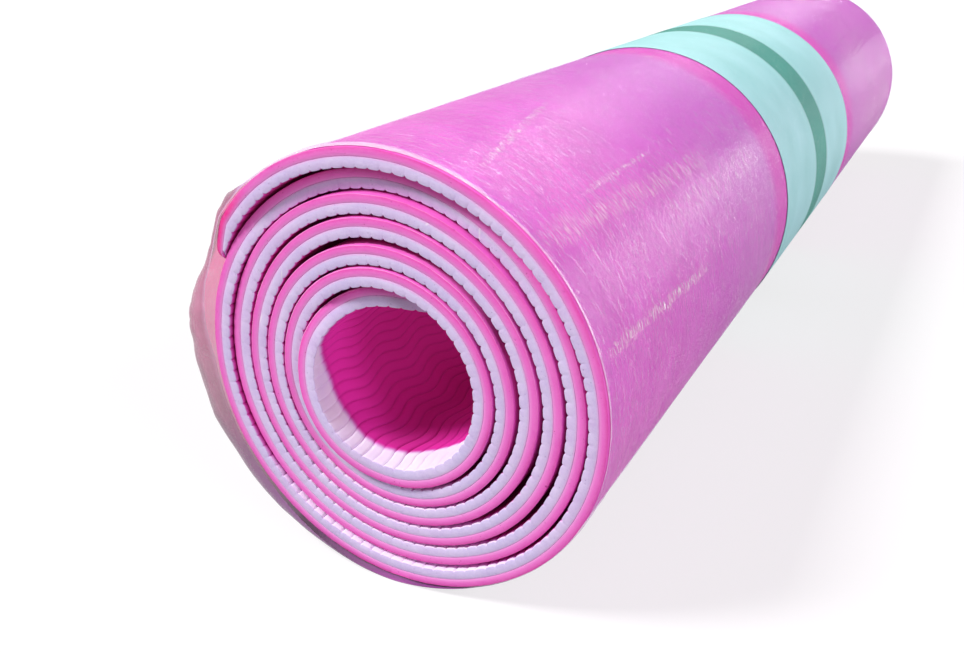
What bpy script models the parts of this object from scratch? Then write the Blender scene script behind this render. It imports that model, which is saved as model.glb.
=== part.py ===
"""A rolled pilates mat as it is sold: a foam mat of two bonded layers, wound up, with a paper band round
its middle and a clear film sleeve over both. Metres, +Z up. The roll lies along Y, the end that shows its
turns looks towards -Y, and the roll rests on Z = 0."""

import math

import bmesh
import bpy
from mathutils import Vector, geometry

# The mat, as it lies flat
MAT_LENGTH = 1.83
MAT_WIDTH = 0.61
MAT_CORNER_RADIUS = 0.015
TOP_LAYER_THICKNESS = 0.0028
RIBBED_LAYER_THICKNESS = 0.0029
BOND_GAP = 0.0003

# How the mat is wound. Places are counted in turns from the inner end, angles run from +X towards +Z.
CORE_RADIUS = 0.0225
CORE_LEAN = 0.0006
CORE_LEAN_ANGLE = 335
INNER_END_ANGLE = 56
TURN_GAP = 0.00045
SEGMENTS_PER_TURN = 48

# Where the turns lie loose: the place, the extra room as a share of the mat's thickness, and its spread
LOOSE_TURN_SHARES = (
    (1.13, 0.07, 0.11),
    (1.61, 0.06, 0.25),
    (2.91, 0.16, 0.12),
    (3.13, 0.20, 0.11),
    (3.76, 0.15, 0.11),
    (4.24, 0.12, 0.09),
    (4.76, 0.10, 0.12),
    (5.39, 0.41, 0.14),
    (5.61, 0.14, 0.10),
    (6.20, 0.06, 0.08),
)

# The innermost stretch stands out of the open end
STAND_OUT = 0.0027
STAND_OUT_PLACE = 0.47
STAND_OUT_SPREAD = 0.17

# The mat's outer end is pressed down and rounded by the film
NOSE_LENGTH = 0.006
NOSE_LEAST_SHARE = 0.15
END_STEP_SHARES = (0.25, 0.5, 0.75)

# The flat that the roll rests on, and the clearance between pieces that touch
REST_FLAT_DEPTH = 0.0005
FIT_GAP = 0.0003

# The paper band
LABEL_WIDTH = 0.166
LABEL_THICKNESS = 0.0003
LABEL_STRIPE_WIDTH = 0.029

# The film sleeve. Its near edge stands off the mat and past its end where the film is slack.
FILM_THICKNESS = 0.0003
FILM_SETBACK = 0.0003
FILM_STEP_LENGTH = 0.005
FLARE_LENGTH = 0.016
FLARE_STAND_OFF = 0.005
FLARE_OVERHANG = 0.0045
WRAP_SEGMENTS = 72
LEAST_STEP_SHARE = 0.2
FLAT_SEARCH_STEP = math.radians(0.2)
DOWN = -math.pi / 2

# Slack places: the angle, the spread in degrees, and the shares of the stand-off and the overhang there
SLACK_PLACE_SHARES = (
    (165, 22, 1.0, 1.0),
    (190, 14, 0.2, 0.6),
    (248, 24, 0.55, 0.0),
)
# Rows of the flare, as shares of its length back from the sleeve's edge
FLARE_ROW_SHARES = (0.0, 0.3, 0.6, 1.0)

# Sizes that follow from those above
MAT_THICKNESS = RIBBED_LAYER_THICKNESS + BOND_GAP + TOP_LAYER_THICKNESS
LABEL_OFFSET = FIT_GAP
FILM_OFFSET = FIT_GAP
FILM_OVER_LABEL_OFFSET = LABEL_OFFSET + LABEL_THICKNESS + FIT_GAP

MILLIMETRES_PER_METRE = 1000

COLOURS = {
    "mat_top_layer": ((0.93, 0.13, 0.53, 1.0), 0.75),
    "mat_ribbed_layer": ((0.76, 0.63, 0.88, 1.0), 0.8),
    "label_band": ((0.53, 0.83, 0.80, 1.0), 0.45),
    "label_stripe": ((0.08, 0.43, 0.35, 1.0), 0.45),
    "film_sleeve": ((0.86, 0.72, 0.88, 0.35), 0.12),
}


def hump(place, centre, spread):
    """One at the centre, falling smoothly to nothing past about twice the spread."""
    return math.exp(-(((place - centre) / spread) ** 2))


def turn_spacing(turns):
    """From a turn's bond line out to the next one's: the mat's thickness, the gap and any loose room."""
    loose = sum(share * hump(turns, place, spread) for place, share, spread in LOOSE_TURN_SHARES)
    return MAT_THICKNESS * (1 + loose) + TURN_GAP


def turn_angle(turns):
    return math.radians(INNER_END_ANGLE) + math.tau * turns


def bond_radius(turns):
    """Radius of the line where the two layers meet. Each turn lies on the one below it."""
    if turns >= 1:
        return bond_radius(turns - 1) + turn_spacing(turns)
    lean = CORE_LEAN * math.cos(turn_angle(turns) - math.radians(CORE_LEAN_ANGLE))
    return CORE_RADIUS + RIBBED_LAYER_THICKNESS + BOND_GAP / 2 + lean + turn_spacing(1) * turns


def polar(radius, angle):
    """A point of the roll's section, as (x, z)."""
    return Vector((radius * math.cos(angle), radius * math.sin(angle)))


def bond_point(turns):
    return polar(bond_radius(turns), turn_angle(turns))


def wound_turns():
    """How many turns take up the mat's length."""
    step = 1 / SEGMENTS_PER_TURN
    turns = 0.0
    wound = 0.0
    while True:
        chord = (bond_point(turns + step) - bond_point(turns)).length
        if wound + chord >= MAT_LENGTH:
            return turns + step * (MAT_LENGTH - wound) / chord
        wound += chord
        turns += step


def stations():
    """Places along the mat, in turns from its inner end, with closer ones in the steps at both ends."""
    whole = wound_turns()
    steps = round(whole * SEGMENTS_PER_TURN)
    places = [whole * step / steps for step in range(steps + 1)]
    near = [places[1] * share for share in END_STEP_SHARES]
    far = [places[-2] + (places[-1] - places[-2]) * share for share in END_STEP_SHARES]
    return places[:1] + near + places[1:-1] + far + places[-1:]


def distances_along(places):
    """How far along the mat each place is."""
    along = [0.0]
    for before, after in zip(places, places[1:]):
        along.append(along[-1] + (bond_point(after) - bond_point(before)).length)
    return along


def corner_recess(from_end):
    """How far the rounded corner draws the mat's long edge in, at that distance from its short edge."""
    if from_end >= MAT_CORNER_RADIUS:
        return 0.0
    across = MAT_CORNER_RADIUS - from_end
    return MAT_CORNER_RADIUS - math.sqrt(max(0.0, MAT_CORNER_RADIUS**2 - across**2))


def nose_share(from_outer_end):
    """What is left of each layer's thickness near the mat's rounded outer end."""
    if from_outer_end >= NOSE_LENGTH:
        return 1.0
    across = 1 - from_outer_end / NOSE_LENGTH
    return max(NOSE_LEAST_SHARE, math.sqrt(max(0.0, 1 - across**2)))


class MatStation:
    """One cross-section of the wound mat: the radii of its faces, and how far it reaches along Y."""

    def __init__(self, turns, along, whole_length):
        from_outer_end = whole_length - along
        share = nose_share(from_outer_end)
        stand_out = STAND_OUT * hump(turns, STAND_OUT_PLACE, STAND_OUT_SPREAD)
        recess = corner_recess(min(along, from_outer_end))
        self.turns = turns
        self.angle = turn_angle(turns)
        self.inside = bond_radius(turns) - BOND_GAP / 2 - RIBBED_LAYER_THICKNESS
        self.ribbed_outside = self.inside + RIBBED_LAYER_THICKNESS * share
        self.top_inside = self.ribbed_outside + BOND_GAP
        self.outside = self.top_inside + TOP_LAYER_THICKNESS * share
        self.front = recess - MAT_WIDTH / 2 - stand_out
        self.back = MAT_WIDTH / 2 - recess - stand_out


def mat_stations():
    places = stations()
    along = distances_along(places)
    return [MatStation(place, run, along[-1]) for place, run in zip(places, along)]


class Outline:
    """The taut outline round the wound mat, and the level that its lowest stretch is flattened to."""

    def __init__(self, mat):
        outer = [polar(station.outside, station.angle) for station in mat]
        self.points = [outer[index] for index in geometry.convex_hull_2d(outer)]
        lowest = min(point.y for point in self.points)
        self.floor = lowest + REST_FLAT_DEPTH

    def reach(self, angle):
        """How far the outline is from the roll's axis in that direction."""
        way = polar(1.0, angle)
        found = []
        for start, end in zip(self.points, self.points[1:] + self.points[:1]):
            edge = end - start
            if edge.cross(way) < 0:
                found.append(edge.cross(start) / edge.cross(way))
        return min(found)

    def point(self, angle, offset, slack=0.0):
        """A point that far outside the outline, kept above the flat that the roll rests on."""
        place = polar(self.reach(angle) + offset + slack, angle)
        return Vector((place.x, max(place.y, self.floor - offset)))


def layer_section(station, inner, outer, floor):
    """A layer's four corners at one station: outside and inside, at the near and the far end."""
    out = polar(outer, station.angle)
    out.y = max(out.y, floor)
    into = polar(inner, station.angle)
    return [
        Vector((out.x, station.front, out.y)),
        Vector((out.x, station.back, out.y)),
        Vector((into.x, station.back, into.y)),
        Vector((into.x, station.front, into.y)),
    ]


def top_layer_sections(mat, outline):
    return [layer_section(place, place.top_inside, place.outside, outline.floor) for place in mat]


def ribbed_layer_sections(mat, outline):
    return [layer_section(place, place.inside, place.ribbed_outside, outline.floor) for place in mat]


def lies_flat(outline, angle, offset):
    """Whether a skin that far outside the outline reaches the flat in that direction."""
    return polar(outline.reach(angle) + offset, angle).y < outline.floor - offset


def flat_edge(outline, way_round):
    """The last direction, going that way round from straight down, in which the film still lies flat."""
    turn = way_round * FLAT_SEARCH_STEP
    angle = DOWN
    while lies_flat(outline, angle + turn, FILM_OVER_LABEL_OFFSET + FILM_THICKNESS):
        angle += turn
    return angle


def wrap_angles(outline):
    """Directions round the roll: even steps, and both edges of the flat that it rests on."""
    edges = [flat_edge(outline, way_round) for way_round in (-1, 1)]
    step = math.tau / WRAP_SEGMENTS
    even = [DOWN - math.pi + step * index for index in range(WRAP_SEGMENTS)]
    clear = [angle for angle in even if min(abs(angle - edge) for edge in edges) > step * LEAST_STEP_SHARE]
    return sorted(clear + edges)


def wrap_section(outline, angle, rows, thickness, rest_offset):
    """A wrapping's wall in one direction. Each row is its place along Y, its offset and its slack.
    Where it lies flat, all rows have the one rest offset, so that the flat runs its whole length."""
    flat = lies_flat(outline, angle, rest_offset + thickness)
    inner = []
    outer = []
    for along, row_offset, row_slack in rows:
        offset, slack = (rest_offset, 0.0) if flat else (row_offset, row_slack)
        near = outline.point(angle, offset, slack)
        far = outline.point(angle, offset + thickness, slack)
        inner.append(Vector((near.x, along, near.y)))
        outer.append(Vector((far.x, along, far.y)))
    return outer + inner[::-1]


def label_rows():
    edges = (-LABEL_WIDTH, -LABEL_STRIPE_WIDTH, LABEL_STRIPE_WIDTH, LABEL_WIDTH)
    return [(edge / 2, LABEL_OFFSET, 0.0) for edge in edges]


def film_rows(angle):
    """The film from its near edge to its far edge: the flare, the step over the label, the plain rest."""
    degrees = math.degrees(angle) % 360
    stand_off = FLARE_STAND_OFF * sum(
        off * hump(degrees, place, spread) for place, spread, off, _ in SLACK_PLACE_SHARES
    )
    overhang = FLARE_OVERHANG * sum(
        over * hump(degrees, place, spread) for place, spread, _, over in SLACK_PLACE_SHARES
    )
    near_edge = FILM_SETBACK - MAT_WIDTH / 2 - overhang
    rows = []
    for share in FLARE_ROW_SHARES:
        rise = (1 + math.cos(math.pi * share)) / 2
        rows.append((near_edge + FLARE_LENGTH * share, FILM_OFFSET, stand_off * rise))
    foot = LABEL_WIDTH / 2 + FILM_STEP_LENGTH
    crest = LABEL_WIDTH / 2 + FIT_GAP
    rows.append((-foot, FILM_OFFSET, 0.0))
    rows.append((-crest, FILM_OVER_LABEL_OFFSET, 0.0))
    rows.append((crest, FILM_OVER_LABEL_OFFSET, 0.0))
    rows.append((foot, FILM_OFFSET, 0.0))
    rows.append((MAT_WIDTH / 2 - FILM_SETBACK, FILM_OFFSET, 0.0))
    return rows


def label_sections(outline):
    rows = label_rows()
    return [
        wrap_section(outline, angle, rows, LABEL_THICKNESS, LABEL_OFFSET) for angle in wrap_angles(outline)
    ]


def film_sections(outline):
    return [
        wrap_section(outline, angle, film_rows(angle), FILM_THICKNESS, FILM_OVER_LABEL_OFFSET)
        for angle in wrap_angles(outline)
    ]


def lofted_mesh(name, sections, closed):
    """A solid skin through sections of equal count. It closes on itself, or its two ends are capped."""
    shape = bmesh.new()
    rings = [[shape.verts.new(point) for point in section] for section in sections]
    pairs = list(zip(rings, rings[1:]))
    if closed:
        pairs.append((rings[-1], rings[0]))
    else:
        shape.faces.new(rings[0])
        shape.faces.new(rings[-1])
    for ring, following in pairs:
        for corner, after in zip(range(len(ring)), list(range(1, len(ring))) + [0]):
            shape.faces.new((ring[corner], ring[after], following[after], following[corner]))
    bmesh.ops.recalc_face_normals(shape, faces=shape.faces)
    mesh = bpy.data.meshes.new(name)
    shape.to_mesh(mesh)
    shape.free()
    mesh.shade_smooth()
    mesh.set_sharp_from_angle(angle=math.radians(30))
    return mesh


def material(name):
    colour, roughness = COLOURS[name]
    made = bpy.data.materials.new(name)
    made.use_nodes = True
    shader = made.node_tree.nodes["Principled BSDF"]
    shader.inputs["Base Color"].default_value = colour
    shader.inputs["Alpha"].default_value = colour[3]
    shader.inputs["Roughness"].default_value = roughness
    shader.inputs["Metallic"].default_value = 0.0
    made.diffuse_color = colour
    return made


def add_part(name, sections, closed, centre, collection, origin):
    part = bpy.data.objects.new(name, lofted_mesh(name, sections, closed))
    part.location = centre
    part.parent = origin
    part.data.materials.append(material(name))
    collection.objects.link(part)
    return part


def print_stripe(label):
    """The middle of the paper band is printed in a second colour."""
    label.data.materials.append(material("label_stripe"))
    for face in label.data.polygons:
        if all(abs(label.data.vertices[corner].co.y) <= LABEL_STRIPE_WIDTH / 2 for corner in face.vertices):
            face.material_index = 1


def roll_centre(all_sections):
    """Where the roll's axis lies, with the object's box centred on the origin and resting on it."""
    points = [point for sections in all_sections for section in sections for point in section]
    low = [min(point[axis] for point in points) for axis in range(3)]
    high = [max(point[axis] for point in points) for axis in range(3)]
    return Vector((-(low[0] + high[0]) / 2, -(low[1] + high[1]) / 2, -low[2]))


def least_gap(mat):
    """The smallest distance between a turn's inside and the outside of the turn below it."""
    outside = [polar(place.outside, place.angle) for place in mat]
    smallest = math.inf
    for place in mat:
        inside = polar(place.inside, place.angle)
        for index in range(len(mat) - 1):
            if mat[index].turns < place.turns - 0.5:
                nearest, share = geometry.intersect_point_line(inside, outside[index], outside[index + 1])
                if 0 <= share <= 1:
                    smallest = min(smallest, (nearest.xy - inside).length)
    return smallest


def main():
    for thing in list(bpy.data.objects):
        bpy.data.objects.remove(thing, do_unlink=True)
    collection = bpy.data.collections.new("pilates_mat")
    bpy.context.scene.collection.children.link(collection)
    origin = bpy.data.objects.new("pilates_mat_origin", None)
    collection.objects.link(origin)

    mat = mat_stations()
    outline = Outline(mat)
    top = top_layer_sections(mat, outline)
    ribbed = ribbed_layer_sections(mat, outline)
    label = label_sections(outline)
    film = film_sections(outline)
    centre = roll_centre((top, ribbed, label, film))

    add_part("mat_top_layer", top, False, centre, collection, origin)
    add_part("mat_ribbed_layer", ribbed, False, centre, collection, origin)
    print_stripe(add_part("label_band", label, True, centre, collection, origin))
    add_part("film_sleeve", film, True, centre, collection, origin)

    gap = least_gap(mat) * MILLIMETRES_PER_METRE
    print(f"turns {mat[-1].turns:.3f}, least gap between turns {gap:.3f} mm")
    print(f"roll axis at x {centre.x:.5f}, z {centre.z:.5f}, its middle at y {centre.y:.5f}")


main()
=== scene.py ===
import math

import bpy
import numpy as np
from mathutils import Matrix, Vector, geometry, noise

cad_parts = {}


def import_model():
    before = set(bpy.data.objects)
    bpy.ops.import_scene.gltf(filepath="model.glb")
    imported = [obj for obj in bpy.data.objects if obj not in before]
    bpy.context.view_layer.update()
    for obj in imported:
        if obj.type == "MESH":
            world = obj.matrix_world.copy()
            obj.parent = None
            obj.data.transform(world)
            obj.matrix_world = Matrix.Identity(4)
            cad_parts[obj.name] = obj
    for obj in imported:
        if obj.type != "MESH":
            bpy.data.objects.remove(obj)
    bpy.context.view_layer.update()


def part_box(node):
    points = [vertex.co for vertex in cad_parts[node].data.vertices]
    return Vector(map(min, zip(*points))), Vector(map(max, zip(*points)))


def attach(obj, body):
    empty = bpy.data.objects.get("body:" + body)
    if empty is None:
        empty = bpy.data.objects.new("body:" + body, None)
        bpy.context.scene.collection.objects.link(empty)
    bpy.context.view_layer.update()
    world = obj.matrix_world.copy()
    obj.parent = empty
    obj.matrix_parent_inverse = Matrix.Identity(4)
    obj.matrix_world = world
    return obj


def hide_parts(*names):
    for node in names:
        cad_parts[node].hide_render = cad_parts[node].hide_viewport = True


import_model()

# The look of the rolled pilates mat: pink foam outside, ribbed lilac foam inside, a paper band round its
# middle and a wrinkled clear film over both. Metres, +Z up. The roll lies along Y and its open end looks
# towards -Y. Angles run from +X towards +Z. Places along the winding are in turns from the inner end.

# One millimetre
MM = 0.001
WHITE = (1.0, 1.0, 1.0, 1.0)

# The mat as it lies flat
MAT_WIDTH = 0.61
INNER_CORNER_RADIUS = 0.022
OUTER_CORNER_RADIUS = 0.003
TOP_THICKNESS = 0.0028
RIBBED_THICKNESS = 0.0029
BOND_GAP = 0.0003
BOND_SHIFT = 0.00034
MAT_THICKNESS = RIBBED_THICKNESS + BOND_GAP + TOP_THICKNESS

# The outer end: both layers thin out, the lilac one over a longer stretch
PINK_NOSE_LENGTH = 0.0065
LILAC_NOSE_LENGTH = 0.0125
NOSE_LEAST_SHARE = 0.05

# How the mat is wound. The core is a little out of round
CORE_RADIUS = 0.0225
CORE_LEAN = 0.0006
CORE_LEAN_ANGLE = 335
INNER_END_ANGLE = 56
TURN_GAP = 0.00045
WOUND_TURNS = 6.2705
# Where a turn lies loose on the one below it: place, room as a share of the mat's thickness, spread
LOOSE_TURN_SHARES = (
    (1.13, 0.07, 0.11), (1.61, 0.06, 0.25), (2.91, 0.16, 0.12), (3.13, 0.2, 0.11), (3.76, 0.15, 0.11),
    (4.24, 0.12, 0.09), (4.39, 0.13, 0.14), (4.76, 0.1, 0.12), (5.39, 0.05, 0.14), (5.61, 0.14, 0.1),
    (6.2, 0.06, 0.08),
)
# Where the lilac foam is fuller, because its turn lies loose on the one below: place, extra, spread
FULLER_PLACES = ((4.39, 0.00055, 0.15), (5.45, 0.0002, 0.16))
# How finely the winding is tabled, in turns
TABLE_STEP = 0.0005

# How far the ribbed face stands off the turn below it: least, and at its widest angle
RIB_CLEARANCE = (0.00020, 0.00034)
CLEARANCE_WIDE_ANGLE = 350
CLEARANCE_COSINES = (-0.3, 0.8)
CLEARANCE_BEGINS = (0.92, 1.08)

# How far the sheet is shifted along the roll: the place in turns, and millimetres back from the end plane
SHEET_SHIFTS = (
    (0, 1.6), (0.05, 1.8), (0.11, 3.6), (0.16, 3), (0.2, 1.2), (0.25, -0.5), (0.3, -1.6), (0.42, -2.6),
    (0.5, -2.5), (0.6, -1.2), (0.72, -0.2), (0.85, 0), (1, -0.1), (1.12, -0.3), (1.3, 0.1), (1.55, 0.3),
    (1.8, 0.1), (2.12, 0.05), (2.3, 0.2), (2.55, 0.2), (2.8, 0.1), (3.12, 0.45), (3.3, 0.4), (3.55, 0.1),
    (3.8, 0.2), (4, 0.5), (4.12, 0.9), (4.25, 1), (4.4, 0.7), (4.48, 0.5), (4.6, 0.2), (4.8, 0.1),
    (4.92, 0.6), (5, 2.1), (5.07, 3.2), (5.15, 3.5), (5.19, 3), (5.23, 0.9), (5.27, 0), (5.32, -0.3),
    (5.5, -0.7), (5.65, -0.6), (5.85, -0.4), (6.05, -0.6), (6.2, -0.6), (6.28, -0.3),
)
SHIFT_SOFTENING = (-0.03, -0.01, 0.01, 0.03)

# The cut along the sheet's long edges: how far it wanders, its rounded edges and the burr on the outer one
CUT_WANDER = 0.00012
CUT_WANDER_LENGTH = 0.012
CUT_EDGE_ROUNDING = 0.0002
OUTER_EDGE_ROUNDING = 0.0003
ROUND_MIDDLE_SHARE = 1 - math.sqrt(0.5)
EDGE_GUARD = 0.0015
BURR_HEIGHT = 0.00012
BURR_LENGTH = 0.0021
# A face is cut foam where it lies wholly within this distance of a long edge
CUT_DEPTH = 0.0003

# How far below the CAD layer's lowest point the foam may reach
FOAM_SETTLE = 0.0003


def hump(place, centre, spread):
    """One at the centre, falling smoothly to nothing past about twice the spread."""
    return np.exp(-(((place - centre) / spread) ** 2))


def ease(low, high, value):
    """From nothing at the low end to one at the high end."""
    share = np.clip((value - low) / (high - low), 0.0, 1.0)
    return share * share * (3 - 2 * share)


def turn_angle(turns):
    return math.radians(INNER_END_ANGLE) + math.tau * turns


def turn_spacing(turns):
    """From a turn's bond line out to the next one's: the mat's thickness, the gap and any loose room."""
    loose = sum(share * hump(turns, place, spread) for place, share, spread in LOOSE_TURN_SHARES)
    return MAT_THICKNESS * (1 + loose) + TURN_GAP


def bond_radius(turns):
    """Radius of the line where the two layers meet. Each turn lies on the one below it."""
    turns = np.asarray(turns, dtype=float)
    whole = np.floor(turns)
    first = turns - whole
    lean = CORE_LEAN * np.cos(turn_angle(first) - math.radians(CORE_LEAN_ANGLE))
    radius = CORE_RADIUS + RIBBED_THICKNESS + BOND_GAP / 2 + lean + turn_spacing(1.0) * first
    for below in range(int(whole.max())):
        radius = radius + np.where(below < whole, turn_spacing(turns - below), 0.0)
    return radius


def round_axis(radius, angle):
    """Points across and up from the roll's axis."""
    return np.stack([radius * np.cos(angle), radius * np.sin(angle)], -1)


PLACES = np.arange(0.0, WOUND_TURNS + TABLE_STEP, TABLE_STEP)
PLACES[-1] = WOUND_TURNS
STEPS = np.diff(round_axis(bond_radius(PLACES), turn_angle(PLACES)), axis=0)
ALONG = np.concatenate([[0.0], np.cumsum(np.hypot(*STEPS.T))])
MAT_LENGTH = ALONG[-1]


def turns_at(along):
    return np.interp(along, ALONG, PLACES)


def layer_lines(along):
    """Radii of the mat's inside, bond line and outside, and how much is left of the lilac and the pink
    layer, which thin out towards the mat's outer end."""
    from_end = MAT_LENGTH - along
    pink_run = np.clip(from_end / PINK_NOSE_LENGTH, 0.0, 1.0)
    pink_share = np.maximum(NOSE_LEAST_SHARE, np.sqrt(1 - (1 - pink_run) ** 2))
    lilac_share = np.clip(from_end / LILAC_NOSE_LENGTH, NOSE_LEAST_SHARE, 1.0)
    turns = turns_at(along)
    fuller = sum(extra * hump(turns, place, spread) for place, extra, spread in FULLER_PLACES)
    base = bond_radius(turns) - BOND_GAP / 2 - RIBBED_THICKNESS
    bond = base + (RIBBED_THICKNESS + BOND_GAP / 2 + BOND_SHIFT) * lilac_share
    outside = bond + (TOP_THICKNESS + BOND_GAP / 2 - BOND_SHIFT) * pink_share
    least, most = RIB_CLEARANCE
    from_wide = np.cos(turn_angle(turns) - math.radians(CLEARANCE_WIDE_ANGLE))
    clear = least + (most - least) * ease(*CLEARANCE_COSINES, from_wide)
    inside = base + (clear * ease(*CLEARANCE_BEGINS, turns) - fuller) * lilac_share
    return inside, bond, outside, lilac_share, pink_share


# The axis is where the outermost turn's widest points meet the CAD layer's box
OUTER = round_axis(layer_lines(ALONG)[2], turn_angle(PLACES))
top_low, top_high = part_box("mat_top_layer")
AXIS_X = top_high.x - OUTER[:, 0].max()
AXIS_Z = top_high.z - OUTER[:, 1].max()
REST_LEVEL = top_low.z - FOAM_SETTLE
OPEN_END_Y = top_high.y - MAT_WIDTH


def placed(radius, angle, y, floor=REST_LEVEL):
    """Points at that radius and angle round the roll's axis, kept above the floor."""
    x = AXIS_X + radius * np.cos(angle)
    z = np.maximum(AXIS_Z + radius * np.sin(angle), floor)
    return np.stack(np.broadcast_arrays(x, y, z), -1)


def wander(values, scale, seed):
    """Smooth noise, about -1 to 1, along a line."""
    return np.array([noise.noise(Vector((value / scale, seed, 0.5))) for value in values])


def sheet_shift(turns):
    """The table of shifts, softened over neighbouring places."""
    places, shifts = np.array(SHEET_SHIFTS).T
    near = [np.interp(turns + step, places, shifts) for step in SHIFT_SOFTENING]
    return sum(near) / len(near) * MM


def corner_recess(from_end, radius):
    """How far a rounded corner of the sheet lies back from its long edge."""
    run = np.clip(from_end, 0.0, radius)
    return radius - np.sqrt(radius**2 - (radius - run) ** 2)


def sheet_ends(along):
    """Where the mat's two long edges lie along Y: rounded corners, shifts and a slightly uneven cut."""
    recess = (corner_recess(along, INNER_CORNER_RADIUS)
              + corner_recess(MAT_LENGTH - along, OUTER_CORNER_RADIUS))
    shift = sheet_shift(turns_at(along))
    near = OPEN_END_Y + recess + shift + CUT_WANDER * wander(along, CUT_WANDER_LENGTH, seed=3.1)
    far = OPEN_END_Y + MAT_WIDTH - recess + shift + CUT_WANDER * wander(along, CUT_WANDER_LENGTH, seed=7.7)
    return near, far


def layer_loops(inner, outer, angle, near, far, rows, outer_edge, inner_angle=None, burr=0.0):
    """For each station a closed loop round the layer's section: the inner face in rows, both cut faces with
    rounded edges, and the outer face. inner is (stations, rows). Gives the points as (stations, loop, 3),
    their share of the way out through the layer, and which of them lie on a rounded outer edge."""
    edge = CUT_EDGE_ROUNDING
    corner = edge * ROUND_MIDDLE_SHARE
    outer_corner = outer_edge * ROUND_MIDDLE_SHARE
    inner_angle = angle[:, None] if inner_angle is None else inner_angle
    y_rows = (near + edge)[:, None] + (far - near - 2 * edge)[:, None] * rows
    first, last = inner[:, 0], inner[:, -1]
    columns = [placed(inner, inner_angle, y_rows)]
    across = [np.zeros(inner.shape)]
    rounded = [0.0] * inner.shape[1]

    for base, end, inwards in ((last, far, -1), (first, near, 1)):
        profile = (
            (base + corner, corner, 0.0),
            (base + edge, 0.0, 0.0),
            (outer - outer_edge + burr, 0.0, 0.0),
            (outer - outer_corner + burr, outer_corner, 1.0),
            (outer, outer_edge, 1.0),
            (outer, outer_edge + EDGE_GUARD, 0.0),
        )
        for radius, back, on_edge in profile[::-inwards]:
            columns.append(placed(radius, angle, end + inwards * back)[:, None, :])
            across.append(((radius - first) / np.maximum(outer - first, edge))[:, None])
            rounded.append(on_edge)
    return np.concatenate(columns, 1), np.concatenate(across, 1), np.array(rounded)


# Meshes

def loft_faces(first_index, stations, loop):
    """Quads between neighbouring loops, which look outwards."""
    base = first_index + np.arange(stations - 1)[:, None] * loop
    here = np.arange(loop)[None, :]
    after = (here + 1) % loop
    quads = np.stack([base + here, base + loop + here, base + loop + after, base + after], -1)
    return quads.reshape(-1, 4).tolist()


def closed_loft(loops):
    """Points and faces of a loft through (stations, loop, 3) points, with a face over both its ends."""
    stations, size = loops.shape[:2]
    faces = loft_faces(0, stations, size)
    faces.append(list(range(size)))
    faces.append(list(range((stations - 1) * size, stations * size))[::-1])
    return loops.reshape(-1, 3), faces


def add_object(name, data):
    made = bpy.data.objects.new(name, data)
    bpy.context.scene.collection.objects.link(made)
    return made


def add_mesh(name, points, faces, materials, smooth_angle=30):
    mesh = bpy.data.meshes.new(name)
    mesh.from_pydata(points.tolist(), [], faces)
    mesh.shade_smooth()
    mesh.set_sharp_from_angle(angle=math.radians(smooth_angle))
    for used in materials:
        mesh.materials.append(used)
    return add_object(name, mesh)


def set_attributes(piece, attributes):
    """Gives the mesh one number per point under each name."""
    for name, values in attributes.items():
        piece.data.attributes.new(name, "FLOAT", "POINT").data.foreach_set("value", values.ravel())


def finished_layer(name, points, faces, depth, attributes, materials):
    """A foam layer. Faces that lie wholly at the sheet's long edges, and its two ends, are cut foam."""
    piece = add_mesh(name, points, faces, materials)
    depths = depth.tolist()
    cut = [max(depths[corner] for corner in face) < CUT_DEPTH for face in faces[:-2]] + [True, True]
    piece.data.polygons.foreach_set("material_index", np.array(cut, dtype=np.int32))
    set_attributes(piece, attributes)
    return piece


# Materials

def linear(shown):
    """A linear colour from red, green and blue as they show, from 0 to 255."""
    values = [value / 255 for value in shown]
    return tuple(value / 12.92 if value <= 0.04045 else ((value + 0.055) / 1.055) ** 2.4
                 for value in values) + (1,)


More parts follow.
